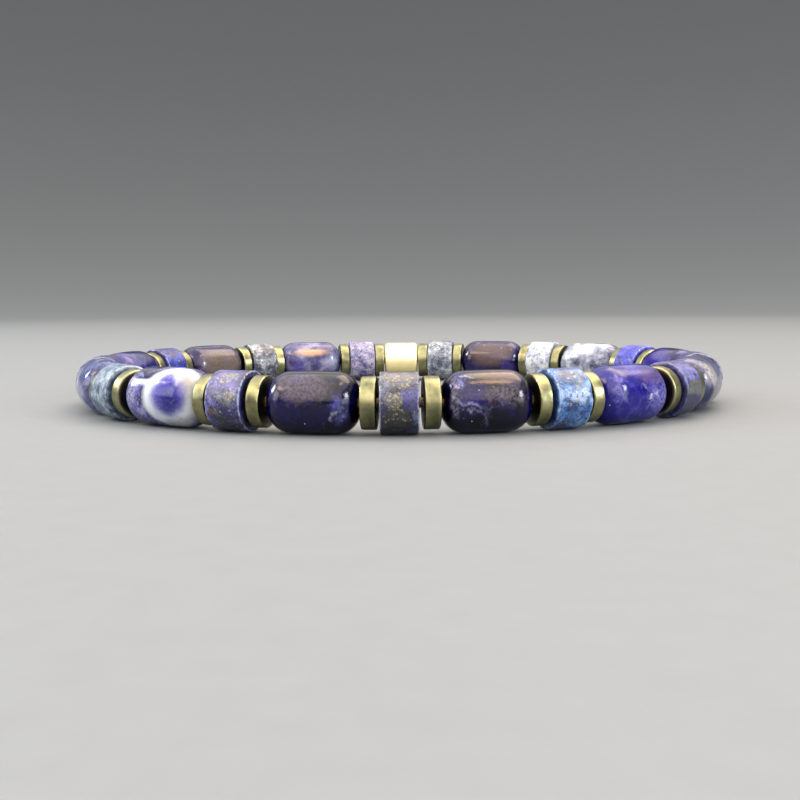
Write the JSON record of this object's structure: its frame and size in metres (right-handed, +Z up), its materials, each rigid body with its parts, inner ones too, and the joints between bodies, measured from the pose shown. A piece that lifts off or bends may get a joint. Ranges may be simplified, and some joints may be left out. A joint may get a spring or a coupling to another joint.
{
  "type": "beaded stretch bracelet",
  "caption": "Stretch bracelet of polished sodalite barrels and lapis wheels with brass-coloured spacers and a gold bead on an elastic cord, to be worn on a wrist.",
  "frame": {"origin": "on the plane that the bracelet lies on, under the middle of its outline in plan", "axes": "+X to the right across the oval's width, +Y from the front wheel towards the gold bead at the back, +Z up, square to the plane of the ring"},
  "size_m": [0.0774, 0.0654, 0.006],
  "materials": {
    "sodalite": "polished, deep navy and violet with white veins",
    "lapis": "satin, blue with grey-white mottling and pyrite flecks",
    "brass": "satin antique brass",
    "gold": "polished yellow gold plating",
    "cord": "translucent amber elastic"
  },
  "bodies": {
    "root": {"brass_spacer_01": "brass", "brass_spacer_02": "brass", "brass_spacer_03": "brass", "brass_spacer_04": "brass", "brass_spacer_05": "brass", "brass_spacer_06": "brass", "brass_spacer_07": "brass", "brass_spacer_08": "brass", "brass_spacer_09": "brass", "brass_spacer_10": "brass", "brass_spacer_11": "brass", "brass_spacer_12": "brass", "brass_spacer_13": "brass", "brass_spacer_14": "brass", "brass_spacer_15": "brass", "brass_spacer_16": "brass", "brass_spacer_17": "brass", "brass_spacer_18": "brass", "brass_spacer_19": "brass", "brass_spacer_20": "brass", "brass_spacer_21": "brass", "brass_spacer_22": "brass", "brass_spacer_23": "brass", "brass_spacer_24": "brass", "brass_spacer_25": "brass", "brass_spacer_26": "brass", "sodalite_barrel_01": "sodalite", "sodalite_barrel_02": "sodalite", "sodalite_barrel_03": "sodalite", "sodalite_barrel_04": "sodalite", "sodalite_barrel_05": "sodalite", "sodalite_barrel_06": "sodalite", "sodalite_barrel_07": "sodalite", "sodalite_barrel_08": "sodalite", "sodalite_barrel_09": "sodalite", "sodalite_barrel_10": "sodalite", "sodalite_barrel_11": "sodalite", "sodalite_barrel_12": "sodalite", "lapis_wheel_01": "lapis", "lapis_wheel_02": "lapis", "lapis_wheel_03": "lapis", "lapis_wheel_04": "lapis", "lapis_wheel_05": "lapis", "lapis_wheel_06": "lapis", "lapis_wheel_07": "lapis", "lapis_wheel_08": "lapis", "lapis_wheel_09": "lapis", "lapis_wheel_10": "lapis", "lapis_wheel_11": "lapis", "lapis_wheel_12": "lapis", "lapis_wheel_13": "lapis", "gold_bead": "gold", "elastic_cord": "cord"}
  },
  "joints": []
}
